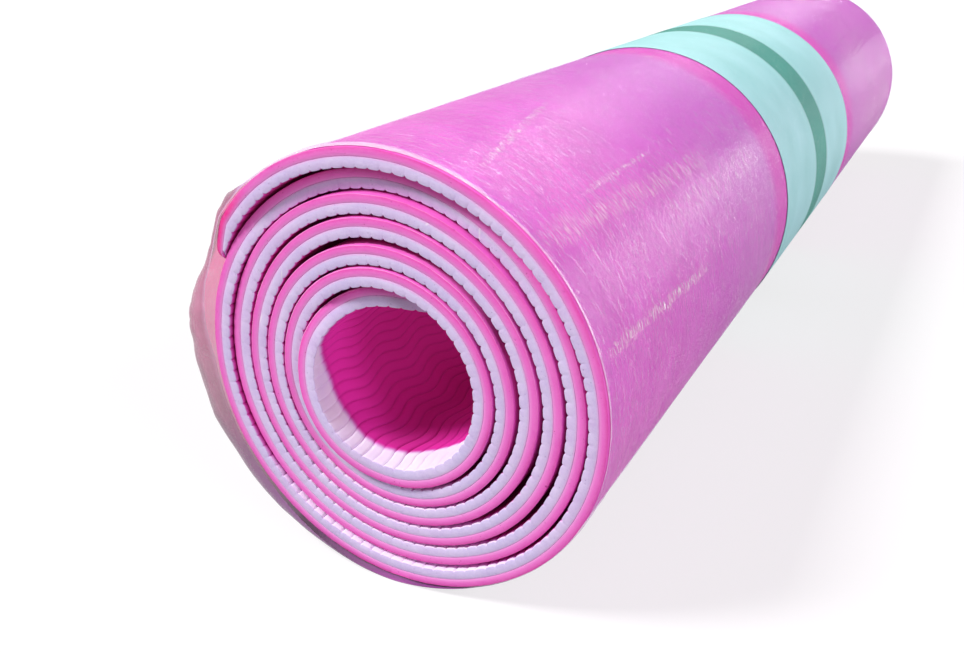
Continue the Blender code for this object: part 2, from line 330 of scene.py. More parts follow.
class Nodes:
    """The node tree of a material or world, with short ways to add nodes and join them. Colours are given
    as red, green and blue from 0 to 255, or as four linear values."""

    def __init__(self, owner, shader="Principled BSDF"):
        self.owner = owner
        owner.use_nodes = True
        self.tree = owner.node_tree
        self.shader = self.tree.nodes[shader]

    def add(self, kind, settings=(), **sockets):
        node = self.tree.nodes.new(kind)
        for key, value in dict(settings).items():
            setattr(node, key, value)
        for key, value in sockets.items():
            self.put(node.inputs[key.replace("_", " ")], value)
        return node

    def put(self, socket, value):
        if isinstance(value, bpy.types.NodeSocket):
            self.tree.links.new(value, socket)
        elif socket.type == "RGBA" and len(value) == 3:
            socket.default_value = linear(value)
        else:
            socket.default_value = value

    def set(self, **sockets):
        for key, value in sockets.items():
            self.put(self.shader.inputs[key.replace("_", " ")], value)

    def coords(self, kind="Object"):
        return self.add("ShaderNodeTexCoord").outputs[kind]

    def parts(self, vector):
        return self.add("ShaderNodeSeparateXYZ", Vector=vector).outputs

    def attribute(self, name):
        return self.add("ShaderNodeAttribute", {"attribute_name": name}).outputs["Fac"]

    def scaled(self, vector, scale, turn=(0, 0, 0)):
        return self.add("ShaderNodeMapping", Vector=vector, Scale=scale, Rotation=turn).outputs["Vector"]

    def noise(self, vector, scale, detail=2, roughness=0.5, distortion=0):
        return self.add("ShaderNodeTexNoise", Vector=vector, Scale=scale, Detail=detail, Roughness=roughness,
                        Distortion=distortion).outputs["Fac"]

    def range(self, value, low, high, to_low=0, to_high=1, smooth=False):
        kind = "SMOOTHSTEP" if smooth else "LINEAR"
        return self.add("ShaderNodeMapRange", {"interpolation_type": kind}, Value=value, From_Min=low,
                        From_Max=high, To_Min=to_low, To_Max=to_high).outputs["Result"]

    def maths(self, operation, first, second=0):
        node = self.add("ShaderNodeMath", {"operation": operation})
        self.put(node.inputs[0], first)
        self.put(node.inputs[1], second)
        return node.outputs["Value"]

    def off(self, value, middle=0):
        return self.maths("ABSOLUTE", self.maths("SUBTRACT", value, middle))

    def times(self, first, *others):
        for other in others:
            first = self.maths("MULTIPLY", first, other)
        return first

    def most(self, first, *others):
        for other in others:
            first = self.maths("MAXIMUM", first, other)
        return first

    def total(self, *terms):
        """The sum of each value times its weight."""
        added = 0.0
        for value, weight in terms:
            added = self.maths("ADD", added, self.times(value, weight))
        return added

    def mix(self, factor, first, second):
        node = self.add("ShaderNodeMix", {"data_type": "RGBA"})
        for key, value in ((0, factor), (6, first), (7, second)):
            self.put(node.inputs[key], value)
        return node.outputs[2]

    def layered(self, tone, *layers):
        """The tone with others over it, each as strong as the factor before it."""
        for factor, other in layers:
            tone = self.mix(factor, tone, other)
        return tone

    def bump(self, height, strength, distance):
        node = self.add("ShaderNodeBump", Height=height, Strength=strength, Distance=distance)
        return node.outputs["Normal"]


# Where the pink skin's paler stretch ends, from the open end. Where the film lies clear next to the label
# and the pink shows deeper, from the roll's middle
PALE_STRETCH = (0.02, 0.19)
CLEAR_STRIP = (0.112, 0.097)


def pink_skin_material():
    made = Nodes(bpy.data.materials.new("pink_foam_skin"))
    where = made.coords()
    blotch = made.range(made.noise(where, 45, 3), 0.3, 0.7, smooth=True)
    fine = made.noise(where, 1800, 2)
    y = made.parts(where)["Y"]
    low, high = PALE_STRETCH
    tone = made.layered(
        made.mix(blotch, (236, 96, 196), (250, 116, 212)),
        (made.range(y, OPEN_END_Y + low, OPEN_END_Y + high, smooth=True), (212, 84, 190)),
        (made.range(made.off(y), *CLEAR_STRIP, smooth=True), (220, 70, 184)))
    made.set(Base_Color=tone, Roughness=made.range(fine, 0.3, 0.7, 0.6, 0.75), Specular_IOR_Level=0.1,
             Normal=made.bump(fine, 0.25, 0.0002))
    return made.owner


# Small nicks in the cut end: across and up from the roll's axis, length, width, angle from level
NICKS = (
    (0.0296, 0.0497, 0.0046, 0.0006, 88),
    (-0.0353, 0.0278, 0.0040, 0.0005, 80),
    (-0.0448, 0.0121, 0.0044, 0.0006, 70),
    (0.0149, 0.0507, 0.0016, 0.0008, 30),
    (0.0513, -0.0190, 0.0009, 0.0008, 0),
)


def along_and_aside(made, place, start, turn):
    """How far a place lies from the start, along a direction in its plane and to the side of it."""
    first, second = (made.maths("SUBTRACT", part, float(value)) for part, value in zip(place, start))
    return (made.total((first, math.cos(turn)), (second, math.sin(turn))),
            made.total((first, -math.sin(turn)), (second, math.cos(turn))))


def nick_marks(made, where):
    """One along each nick and nothing elsewhere."""
    parts = made.parts(where)
    marks = 0.0
    for across, up, length, width, angle in NICKS:
        along, aside = along_and_aside(made, (parts["X"], parts["Z"]), (AXIS_X + across, AXIS_Z + up),
                                       math.radians(angle))
        along = made.times(along, 2 / length)
        aside = made.times(aside, 2 / width)
        off = made.total((along, along), (aside, aside))
        marks = made.maths("ADD", marks, made.range(off, 0.3, 1, 1, 0))
    return marks


def cut_foam(name, soft_scale, wide_scale, unevenness):
    """Foam cut through, without its colour, and what that is mixed by: grain, pits, nicks, two mottlings
    and the share of the way out through the layer."""
    made = Nodes(bpy.data.materials.new(name))
    where = made.coords()
    grain = made.noise(where, 2100, 3, 0.7)
    coarse = made.noise(where, 700, 2, 0.6)
    drag = made.noise(made.scaled(where, (60, 60, 900), (0, 0.5, 0)), 1, 3)
    cells = made.add("ShaderNodeTexVoronoi", Vector=where, Scale=900).outputs["Distance"]
    sparse = made.range(made.noise(where, 340, 1), 0.54, 0.66)
    pit = made.times(made.range(cells, 0.06, 0.22, 1, 0), sparse)
    height = made.total((grain, 0.6), (coarse, 0.6), (drag, 0.5), (pit, -1))
    made.set(Roughness=0.74, Specular_IOR_Level=0.3, Normal=made.bump(height, 0.45, 0.00025))
    soft = made.noise(where, soft_scale, 3)
    across = made.maths("ADD", made.attribute("across"), made.range(soft, 0, 1, -unevenness, unevenness))
    return (made, made.total((grain, 0.6), (coarse, 0.4)), pit, nick_marks(made, where), soft,
            made.noise(where, wide_scale, 2), across)


def pink_cut_material():
    """Pink foam cut through: deeper towards its outer skin, paler where it runs into the lilac, with a
    painted highlight along its rounded outer edge at some turns.
    """
    made, grain, pit, nicks, soft, wide, across = cut_foam("pink_foam_cut", 130, 38, 0.14)
    outer = made.times(made.range(across, 0.45, 1, smooth=True), made.range(wide, 0.35, 0.65, 0.3, 0.9))
    near_end = made.times(made.attribute("near_end"), made.range(across, 0, 0.6))
    # Painted highlight along the rounded outer edge of the pink foam
    rim = made.times(made.attribute("rim"), made.range(soft, 0.30, 0.55, 0.35, 1))
    made.set(Base_Color=made.layered(
        made.mix(made.range(soft, 0.3, 0.7), (245, 108, 206), (250, 126, 214)),
        (outer, (236, 56, 172)),
        (made.range(across, 0.42, -0.05, 0, 0.85), (242, 172, 230)),
        (near_end, (250, 44, 150)),
        (made.range(grain, 0.35, 0.72, 0, 0.30), (255, 150, 220)),
        # Pits painted darker: painted shade in them
        (made.times(pit, 0.6), (186, 36, 126)),
        (made.times(nicks, 0.7), (150, 30, 110)),
        (rim, (255, 200, 238))))
    return made.owner


def lilac_cut_material():
    """Lilac foam cut through, faintly mottled and tinted pink next to the pink foam."""
    made, grain, pit, nicks, soft, wide, across = cut_foam("lilac_foam_cut", 150, 45, 0.08)
    made.set(Base_Color=made.layered(
        made.mix(made.range(soft, 0.3, 0.7), (216, 192, 238), (228, 212, 248)),
        (made.range(wide, 0.4, 0.68, 0, 0.5), (206, 200, 242)),
        (made.range(across, 0.78, 1.04, 0, 0.85), (238, 168, 228)),
        (made.range(grain, 0.35, 0.72, 0, 0.35), (248, 238, 255)),
        # Pits painted darker: painted shade in them
        (made.times(pit, 0.5), (150, 116, 180)),
        (made.times(nicks, 0.5), (250, 246, 252))))
    return made.owner


def ribbed_face_material():
    """Lilac foam. Past where daylight reaches, in the core and in the gaps between the turns, it is painted
    magenta and darker as painted shade, darkest in the grooves, and deep in the core it glows with a painted
    light.
    """
    made = Nodes(bpy.data.materials.new("lilac_foam_face_and_painted_shade"))
    where = made.coords()
    fine = made.noise(where, 1600, 2)
    soft = made.noise(where, 90, 3)
    past = made.maths("ADD", made.attribute("past_daylight"), made.range(soft, 0, 1, -0.5, 0.5))
    sunk = made.range(past, 0.4, 3, smooth=True)
    painted_glow_level = made.attribute("painted_core_glow")
    groove = made.attribute("groove")
    # The lilac's own tone, then painted shade past where daylight reaches: pinker, deep magenta, darker
    # where the painted glow is weak and darker still in the grooves
    tone = made.layered(
        made.mix(made.range(soft, 0.3, 0.7), (240, 230, 255), (249, 243, 255)),
        (made.range(past, -1.4, 0.8, smooth=True), (222, 140, 222)),
        (made.range(past, -0.4, 1.6, smooth=True), (216, 42, 160)),
        (made.times(sunk, made.range(painted_glow_level, 0, 0.6, 1, 0)), (176, 38, 118)),
        (made.times(groove, sunk, 0.24), (120, 14, 80)))
    # Painted light: the deep core glows magenta, a little less in the grooves
    painted_core_glow = made.times(sunk, made.range(painted_glow_level, 0, 1, 0.005, 0.19), made.range(groove, 0, 1, 1, 0.8))
    made.set(Base_Color=tone, Roughness=0.7, Specular_IOR_Level=0.25, Normal=made.bump(fine, 0.3, 0.0002),
             Emission_Color=(216, 48, 156), Emission_Strength=painted_core_glow)
    return made.owner


# The print on the label: a stripe round its middle and a thin line on both sides of it
LABEL_STRIPE_WIDTH = 0.029
PRINT_SOFTNESS = 0.0002
THIN_LINE_OFFSET = 0.0016
THIN_LINE_EDGE = (0.0003, 0.0006)


def paper_material():
    made = Nodes(bpy.data.materials.new("coated_paper_band"))
    where = made.coords()
    half = LABEL_STRIPE_WIDTH / 2
    off_middle = made.off(made.parts(where)["Y"])
    fibre = made.noise(made.scaled(where, (1, 0.35, 1)), 900, 4, 0.6)
    soft = made.range(made.noise(where, 30, 2), 0.3, 0.7)
    in_stripe = made.range(off_middle, half - PRINT_SOFTNESS, half + PRINT_SOFTNESS, 1, 0)
    off_line = made.off(off_middle, half + THIN_LINE_OFFSET)
    tone = made.layered(
        made.mix(soft, (150, 214, 210), (170, 228, 226)),
        (in_stripe, made.mix(soft, (34, 134, 118), (46, 150, 132))),
        (made.range(off_line, *THIN_LINE_EDGE, 0.7, 0), (120, 190, 182)),
        (made.range(fibre, 0.3, 0.7, 0, 0.08), WHITE))
    made.set(Base_Color=tone, Roughness=made.range(fibre, 0.3, 0.7, 0.55, 0.68), Specular_IOR_Level=0.08,
             Normal=made.bump(fibre, 0.12, 0.0001))
    return made.owner


# The film's own coordinates: the radius that they run round at, and how far before the end they start
FILM_RADIUS = 0.068
FILM_LEAD = 0.002

# Painted highlights in the film, as bands of short pale strokes where its creases catch the light: where
# each begins and ends, as an angle and how far behind the end plane, its half width, then the length,
# spacing and lean of its strokes, how much of it they fill, their strength, and that of the haze between
# them. Degrees and millimetres
PAINTED_FILM_GLINTS = (
    ((68.5, 8), (82, 92), 2, (1.7, 0.7, 0.9), 0.46, 1.00, 0.04),
    ((51, 34), (51, 100), 1.6, (1.5, 0.7, 0.9), 0.44, 1.00, 0.03),
    ((47.5, -14), (39.5, 150), 6.5, (4.5, 0.8, 0.30), 0.60, 0.46, 0.12),
    ((34, 60), (31, 200), 9, (6, 1, 0.30), 0.52, 0.50, 0.06),
    ((19, -4), (14, 104), 3, (3, 1, 0.15), 0.60, 0.80, 0.12),
    ((98, 130), (56, 180), 16, (5, 0.9, 0.35), 0.44, 0.30, 0),
    ((75, 20), (40, 120), 18, (4, 0.8, 0.60), 0.30, 0.30, 0),
    ((86, 197), (82, 201), 1, (2, 0.7, 0.3), 0.90, 1.00, 0),
)


def painted_film_glints(made, uv):
    """Painted highlights: short pale strokes where the film's creases catch the light, each band along its
    own line.
    """
    parts = made.parts(uv)
    sway = made.range(made.noise(made.scaled(uv, (90, 160, 1)), 1, 2), 0, 1, -0.45, 0.45)
    marks = 0.0
    for begins, ends, half, (length, spacing, lean), fill, strength, wash in PAINTED_FILM_GLINTS:
        start, stop = (np.array([math.radians(angle) * FILM_RADIUS, run * MM + FILM_LEAD])
                       for angle, run in (begins, ends))
        step = stop - start
        along, aside = along_and_aside(made, (parts["X"], parts["Y"]), start, math.atan2(step[1], step[0]))
        aside = made.off(made.times(aside, 1 / (half * MM)), sway)
        along = made.off(made.times(along, 2 / math.hypot(*step)), 1)
        within = made.times(made.range(aside, 0.15, 1, 1, 0, smooth=True),
                            made.range(along, 0.6, 1, 1, 0, smooth=True))
        grid = (1 / (length * MM), 1 / (spacing * MM), 1)
        least = 0.66 - 0.3 * fill
        softness = 0.07 if strength > 0.8 else 0.15
        strokes = made.range(made.noise(made.scaled(uv, grid, (0, 0, lean)), 1, 2, 0.6),
                             least, least + softness, wash, wash + strength)
        marks = made.most(marks, made.times(within, strokes))
    return marks


def film_material():
    """Thin hazy film: mostly clear, whiter where it is creased, gathered or thick at its free edge, with
    painted highlights in strokes along its creases and along its free edge, painted shade where it lies
    under the roll, and a painted glow in its warm cuff.
    """
    made = Nodes(bpy.data.materials.new("clear_shrink_film"))
    uv = made.coords("UV")
    where = made.coords()
    folds = made.noise(made.scaled(uv, (90, 480, 1), (0, 0, 0.12)), 1, 3, 0.6, 0.5)
    fine = made.noise(made.scaled(uv, (170, 1050, 1), (0, 0, 0.2)), 1, 3, 0.65, 0.8)
    web = made.noise(made.scaled(uv, (300, 430, 1), (0, 0, 0.5)), 1, 4, 0.6, 1.2)
    web = made.range(made.off(web, 0.5), 0, 0.03, 1, 0)
    cloud = made.noise(made.scaled(where, (1, 0.5, 1)), 26, 4, 0.6)
    off_middle = made.off(made.parts(where)["Y"])
    # Painted highlight strokes, which also whiten the film, make it less clear and raise its bump
    marks = painted_film_glints(made, uv)
    gathered, edge, label, painted_underside_shade, behind, warm_and_glow = (made.attribute(name) for name in (
        "gathered", "free_edge_and_highlight", "over_label", "painted_underside_shade", "behind_bulge", "warm_and_glow"))

    cloudy = made.most(gathered, painted_underside_shade)
    taut = made.range(made.most(cloudy, label), 0, 1, 1, 0.1)
    creased = made.times(made.total((web, 0.16), (made.range(fine, 0.5, 0.68), 0.40)), taut)
    creased = made.most(creased, marks)
    dark = made.times(made.range(fine, 0.45, 0.30, 0, 0.45), taut)
    haze = made.times(made.range(cloud, 0.35, 0.72, 0.20, 0.32), made.range(label, 0, 1, 1, 0.08),
                      made.range(off_middle, *CLEAR_STRIP, 1, 0.45, smooth=True))
    alpha = made.total((haze, 1), (cloudy, 0.46), (painted_underside_shade, 0.2), (dark, 0.4), (creased, 0.55),
                       (edge, 0.5))

    crumple = made.range(folds, 0.35, 0.7)
    cuff = made.layered(
        made.mix(crumple, (122, 68, 98), (150, 88, 122)),
        (warm_and_glow, made.mix(crumple, (172, 84, 126), (198, 108, 150))),
        (behind, made.mix(crumple, (250, 70, 160), (255, 104, 182))),
        # Painted shade: the film under the roll is dark purple and less clear
        (painted_underside_shade, (146, 60, 146)))
    tone = made.layered(
        made.mix(made.range(cloud, 0.35, 0.7), (178, 116, 255), (226, 156, 255)),
        (label, (220, 242, 246)),
        (dark, (170, 60, 160)),
        (made.range(creased, 0, 0.4), (252, 196, 255)),
        (made.range(marks, 0.1, 0.9), (255, 240, 252)),
        (cloudy, cuff),
        # The free edge: partly thicker film, partly a painted highlight
        (edge, (255, 208, 244)))
    height = made.total((folds, 0.7), (fine, 0.5), (web, 0.04), (marks, 0.25))
    made.set(Base_Color=tone, Alpha=made.maths("MINIMUM", alpha, 1), Roughness=0.16, IOR=1.6,
             Specular_IOR_Level=0.8, Normal=made.bump(height, 0.7, 0.0008),
             # Painted light: the gathered cuff glows pink behind its bulge on its warm side
             Emission_Color=(236, 60, 172), Emission_Strength=made.times(warm_and_glow, gathered, behind, 0.38))
    return made.owner


# The foam layers

# The ribs of the lilac foam: wide, slightly crowned, with narrow grooves
RIB_PITCH = 0.004
RIB_DEPTH = 0.00036
RIB_CROWN = 0.00012
RIB_UNEVENNESS = 0.7
GROOVE_HALF_WIDTH_SHARE = 0.18
GROOVE_POWER = 1.4
RIB_SAMPLE_SHARES = (0.0, 0.05, 0.12, 0.2, 0.35, 0.5, 0.65, 0.8, 0.88, 0.95)
# The ribs wave in the innermost turn, less towards its ends and edges
RIB_WAVE_LENGTH = 0.024
RIB_WAVE_HEIGHT = 0.0013
RIB_WAVE_FADE = 0.006
RIB_WAVE_EDGE_FADE = 0.010
WAVY_TURNS = 1.12
# Rows of points across the mat, as shares of its width
WAVY_ROWS = 280
PLAIN_ROW_SHARES = (0.0, 0.002, 0.004, 0.008, 0.03, 0.5, 0.97, 0.992, 0.996, 0.998, 1.0)
ROW_TOLERANCE = 1e-9
END_TRIM = 0.0001
# Half the slit between the two layers
BOND_SLIT = 0.00001

# By angle: how many millimetres daylight reaches into the core and into the gaps between the turns past it,
# beyond which the ribbed face is painted magenta and darker as painted shade, and how strongly the core
# glows with a painted light that stands in for light through the foam
CORE_TURNS = 1.05
CORE_DAYLIGHT = (
    (0, 11), (60, 3), (100, 0.6), (158, 0.8), (168, 3), (180, 5.2), (196, 7.6), (209, 8), (226, 8.6),
    (240, 7.5), (259, 8), (274, 10), (285, 12.6), (295, 14.4), (308, 15.9), (340, 15), (360, 11),
)
GAP_DAYLIGHT = (
    (0, 0.6), (60, 0.3), (120, 0), (205, 0), (228, 1.6), (245, 5), (290, 5), (305, 2), (330, 0.6),
    (360, 0.6),
)
PAINTED_CORE_GLOW = (
    (0, 0.26), (40, 0.18), (90, 0.6), (150, 1), (215, 1), (240, 0.6), (262, 0.35), (285, 0.5), (325, 0.5),
    (345, 0.32), (360, 0.26),
)

# How finely the pink foam is drawn: along the mat, across it, and at its nose as shares of that
TOP_STATION_STEP = 0.0009
TOP_ROW_SHARES = (0.0, 0.5, 1.0)
NOSE_SHARES = (0.85, 0.7, 0.55, 0.4, 0.27, 0.16, 0.08, 0.03, 0.0)
# The cut face is deeper pink over this stretch at the outer end
END_TINT_LENGTH = 0.03
# How strongly a painted highlight lies along the rounded outer edge of the pink foam, by place in turns
PAINTED_RIM_HIGHLIGHTS = (
    (0, 0), (0.1, 0.2), (0.15, 1), (0.3, 1), (0.4, 0.2), (0.9, 0.1), (1, 0.8), (1.35, 0.9), (1.5, 0.2),
    (1.9, 0.1), (2, 0.8), (2.4, 0.8), (2.55, 0.1), (2.85, 0.1), (2.95, 0.7), (3.35, 0.8), (3.5, 0.1),
    (3.95, 0), (4.05, 0.5), (4.2, 0.5), (4.3, 0), (6.1, 0), (6.2, 0.5), (6.28, 0.8),
)


def from_groove(along):
    """How far a place lies from the nearest groove between two ribs, as a share of their pitch."""
    share = (along / RIB_PITCH) % 1.0
    return np.minimum(share, 1 - share)


def in_groove(along):
    """One at the bottom of a groove, nothing on the ribs."""
    return np.clip(1 - from_groove(along) / GROOVE_HALF_WIDTH_SHARE, 0, 1)


def rib_groove(along):
    """How deep the ribbed face lies below its rib tops."""
    crown = (1 - 2 * from_groove(along)) ** 2
    depth = RIB_DEPTH * in_groove(along) ** GROOVE_POWER + RIB_CROWN * crown
    return depth * (1 + RIB_UNEVENNESS * wander(along, RIB_PITCH, seed=5.0))


def by_angle(turns, table):
    """A table's value for each place, by its angle round the roll in degrees."""
    return np.interp(np.degrees(turn_angle(turns)) % 360, *zip(*table))


def past_daylight(depth, turns):
    """Millimetres that a place on the ribbed face lies beyond where daylight reaches."""
    reach = np.where(turns < CORE_TURNS, by_angle(turns, CORE_DAYLIGHT), by_angle(turns, GAP_DAYLIGHT))
    return depth / MM - reach


def rib_stations():
    """Places along the mat: several on each rib, and one just short of its end."""
    ribs = np.arange(int(MAT_LENGTH / RIB_PITCH))[:, None]
    along = ((ribs + np.array(RIB_SAMPLE_SHARES)) * RIB_PITCH).ravel()
    return np.append(along[along < MAT_LENGTH - 2 * END_TRIM], MAT_LENGTH - END_TRIM)


def rib_loops(along, near, far, rows, waving):
    """Loops round the ribbed layer's section and their share of the way out, with waving ribs."""
    width = (far - near)[:, None]
    y = near[:, None] + width * rows
    from_edge = width * np.minimum(rows, 1 - rows)
    waving = waving[:, None] * ease(0.0, RIB_WAVE_EDGE_FADE, from_edge)
    wave = RIB_WAVE_HEIGHT * np.sin(math.tau * y / RIB_WAVE_LENGTH) * waving
    run = np.clip(along[:, None] + wave, 0.0, MAT_LENGTH)
    inside = layer_lines(run.ravel())[0].reshape(run.shape)
    _, bond, _, share, _ = layer_lines(along)
    inner = inside + (rib_groove(along) * share)[:, None]
    return layer_loops(inner, bond - BOND_SLIT, turn_angle(turns_at(along)), near, far, rows,
                       CUT_EDGE_ROUNDING, turn_angle(turns_at(run)))[:2]


def seam_faces(wavy_rows, plain_rows, wavy_size, plain_size, wavy_start, plain_start):
    """Faces between the last loop of the wavy stretch and the first of the plain one, with fewer rows."""
    matching = np.concatenate([np.searchsorted(wavy_rows, plain_rows - ROW_TOLERANCE),
                               np.arange(len(wavy_rows), wavy_size + 1)])
    faces = []
    for place in range(plain_size):
        side = [wavy_start + index % wavy_size for index in range(matching[place], matching[place + 1] + 1)]
        faces.append([plain_start + place, plain_start + (place + 1) % plain_size] + side[::-1])
    return faces


def ribbed_layer():
    """The lilac foam: a wavy stretch in many rows, and the rest of the mat in few."""
    along = rib_stations()
    turns = turns_at(along)
    near, far = sheet_ends(along)
    split = int(np.searchsorted(turns, WAVY_TURNS)) + 1
    wavy, plain = slice(0, split), slice(split, None)
    waving = (ease(0.0, RIB_WAVE_FADE, along)
              * ease(0.0, RIB_WAVE_FADE, along[split - 1] - along))
    plain_rows = np.array(PLAIN_ROW_SHARES)
    wavy_rows = np.unique(np.concatenate([np.linspace(0, 1, WAVY_ROWS), plain_rows]))
    (wavy_loops, wavy_across), (plain_loops, plain_across) = (
        rib_loops(along[part], near[part], far[part], rows, waving[part])
        for part, rows in ((wavy, wavy_rows), (plain, plain_rows)))

    wavy_size, plain_size = wavy_loops.shape[1], plain_loops.shape[1]
    points = np.concatenate([wavy_loops.reshape(-1, 3), plain_loops.reshape(-1, 3)])
    start = split * wavy_size
    faces = loft_faces(0, split, wavy_size) + loft_faces(start, len(plain_loops), plain_size)
    faces += seam_faces(wavy_rows, plain_rows, wavy_size, plain_size, start - wavy_size, start)
    faces.append(list(range(wavy_size)))
    faces.append(list(range(len(points) - plain_size, len(points)))[::-1])

    stations = np.concatenate([np.repeat(np.arange(split), wavy_size),
                               np.repeat(np.arange(split, len(along)), plain_size)])
    depth = np.minimum(points[:, 1] - near[stations], far[stations] - points[:, 1])
    attributes = {
        # Where the ribbed face turns to painted shade, and how strongly the core's painted glow shines
        "past_daylight": past_daylight(depth, turns[stations]),
        "painted_core_glow": np.where(turns < CORE_TURNS, by_angle(turns, PAINTED_CORE_GLOW), 0.0)[stations],
        "groove": in_groove(along)[stations],
        "across": np.concatenate([wavy_across.ravel(), plain_across.ravel()]),
    }
    return finished_layer("ribbed_foam_layer", points, faces, depth, attributes,
                          [ribbed_face_material(), lilac_cut_material()])


def top_layer():
    count = int(MAT_LENGTH / TOP_STATION_STEP)
    along = np.concatenate([np.linspace(0, MAT_LENGTH - PINK_NOSE_LENGTH, count),
                            MAT_LENGTH - PINK_NOSE_LENGTH * np.array(NOSE_SHARES)])
    near, far = sheet_ends(along)
    _, bond, outside, _, share = layer_lines(along)
    turns = turns_at(along)
    rows = np.array(TOP_ROW_SHARES)
    inner = np.repeat((bond + BOND_SLIT)[:, None], len(rows), 1)
    burr = BURR_HEIGHT * wander(along, BURR_LENGTH, seed=2.0) * share
    loops, across, rounded = layer_loops(inner, outside, turn_angle(turns), near, far, rows,
                                         OUTER_EDGE_ROUNDING * share, burr=burr)
    points, faces = closed_loft(loops)
    depth = np.minimum(loops[:, :, 1] - near[:, None], far[:, None] - loops[:, :, 1]).ravel()
    near_end = ease(END_TINT_LENGTH, END_TINT_LENGTH / 2, MAT_LENGTH - along)
    attributes = {
        "across": across,
        "rim": np.interp(turns, *zip(*PAINTED_RIM_HIGHLIGHTS))[:, None] * rounded,
        "near_end": np.repeat(near_end, loops.shape[1]),
    }
    return finished_layer("pink_foam_layer", points, faces, depth, attributes,
                          [pink_skin_material(), pink_cut_material()])


# The wrappings

HULL = OUTER[geometry.convex_hull_2d([Vector(point) for point in OUTER])]

# The paper band, which laps over itself at the back
LABEL_WIDTH = 0.166
LABEL_THICKNESS = 0.00015
LABEL_OFFSET = 0.0003
LABEL_FLOOR = 0.0004
LABEL_LAP_ANGLE = math.radians(262)
LABEL_LAP = math.radians(11)
LABEL_LAP_RISE = 0.0002
LABEL_LAP_TURN = 0.3
LABEL_WANDER = 0.00015
LABEL_WANDER_TURN = 0.05
LABEL_STEPS = 300
LABEL_ROWS = 13

# The film at the open end: the angle in degrees, how far it bulges off the roll, how far its free edge
# stands off, and how far behind the roll's end plane that edge lies, in millimetres
FILM_MOUTH = (
    (0, 0.25, 0.1, 0.6), (40, 0.25, 0.08, 0.4), (70, 0.3, 0.08, 0.1), (100, 0.45, 0.1, -0.2),
    (125, 0.6, 0.12, -0.4), (131, 1.2, 0.15, -0.6), (135, 2.4, 0.15, -0.6), (138, 3.6, 0.15, -0.7),
    (141, 3.2, 0.15, -0.8), (146, 3.5, 0.15, -0.9), (151, 4, 0.6, -1), (157, 5.8, 1.8, -1.1),
    (162, 7.4, 2.8, -1.1), (168, 10.9, 3.4, -1), (173, 13, 3, -1), (177, 13.2, 1.9, -0.9),
    (184, 12.9, 0.5, -0.7), (193, 12.4, 0.3, -0.6), (202, 12.5, 0.3, -0.6), (212, 10.4, 0.3, -0.8),
    (221, 9.7, 0.3, -1), (231, 8.2, 0.3, -1.4), (240, 6, 0.3, -2), (251, 3.2, 0.3, -2.6),
    (262, 1.6, 0.2, -3), (272, 1, 0.2, -2.8), (285, 0.7, 0.15, -1.6), (296, 0.5, 0.1, -0.6),
    (312, 0.4, 0.1, 0), (330, 0.3, 0.1, 0.5), (360, 0.25, 0.1, 0.6),
)
# Where the film bulges most and where it meets the roll again, behind the end plane
BULGE_PLACE = 0.004
BULGE_FOOT = 0.019

# The film's rows of points: from its free edge to the bulge, then first, limit and step down the bulge,
# then along the roll, then over its far edge
MOUTH_ROWS = 9
BULGE_ROWS = (0.0047, 0.0200, 0.0008)
FILM_ROW_STEP = 0.0016
FILM_END_GAP = 0.004
FAR_ROWS = 7
FAR_GAP = 0.003
FAR_REACH = 0.0035
FAR_STAND = 0.0004
FILM_COLUMNS = 384
FILM_SMOOTH_ANGLE = 60

# How far the film lies off the foam, off the floor, and higher over the label
FILM_OFFSET = 0.00012
FILM_FLOOR = 0.00012
FILM_STEP = 0.00055
FILM_STEP_LENGTH = 0.005

# Creases in two sizes: round the roll, along it, sharpness, height in millimetres, start of their noise.
# They lean by sums of waves: height, waves round the roll, phase
CREASES = (
    (0.050, 0.0085, 3.2, 0.20, 0),
    (0.024, 0.0036, 3.0, 0.10, 9),
)
CREASE_LEAN = ((0.010, 1, -0.6), (0.004, 2, 1.0))
CREASE_PATCH = 0.05
CREASE_END_FADE = 0.006
CREASE_END_SHARE = 0.25
CREASE_LABEL_SHARE = 0.4

# The slack film's crumples: how far they reach, how many to a radian, how long, and finer ones in them
CRUMPLE_END = 0.023
CRUMPLE_ROUND = 5.2
CRUMPLE_LENGTH = 0.011
CRUMPLE_FINER = 2.3

# By angle: how much the crumples swell the film, the width in millimetres and strength of the pale band
# along its free edge, partly the film's thicker edge and partly a painted highlight, the strength of the
# painted thread of highlight on that edge, and the tones of the cuff: its warm side, which also glows with a
# painted light, and its underside in painted shade
CRUMPLE_SWELL = ((0, 132, 150, 185, 205, 240, 360), (0.1, 0.26, 0.2, 0.12, 0.07, 0.05, 0.1))
BAND_WIDTH = ((0, 40, 62, 78, 92, 125, 135, 360), (0.9, 1.0, 1.4, 2.6, 3.6, 3.2, 0.6, 0.6))
EDGE_BAND_AND_HIGHLIGHT_STRENGTH = (
    (0, 40, 70, 90, 120, 132, 140, 296, 312, 360),
    (0.8, 0.8, 0.9, 1.0, 0.9, 0.4, 0.0, 0.0, 0.5, 0.8),
)
THREAD_HIGHLIGHT_STRENGTH = ((0, 150, 208, 300, 325, 360), (1, 0.7, 0, 0, 0.8, 1))
# By angle: the cuff's warmer tone, which also glows with a painted light
CUFF_WARMTH_AND_GLOW = ((0, 134, 145, 172, 200, 215, 360), (0, 0, 1, 0.9, 0.2, 0, 0))
# By angle: where the film under the roll is painted in shade
UNDERSIDE_PAINTED_SHADE = ((200, 216, 232, 292, 312), (0, 0.5, 1, 1, 0))
# Over which distances those marks end: the band as shares of its width, the others in metres
BAND_EDGE = (1.0, 0.6)
THREAD_HIGHLIGHT_EDGE = (0.00028, 0.00006)
UNDERSIDE_SHADE_RUN = (0.02, 0.004)
BEHIND_BULGE_RUN = 0.0015
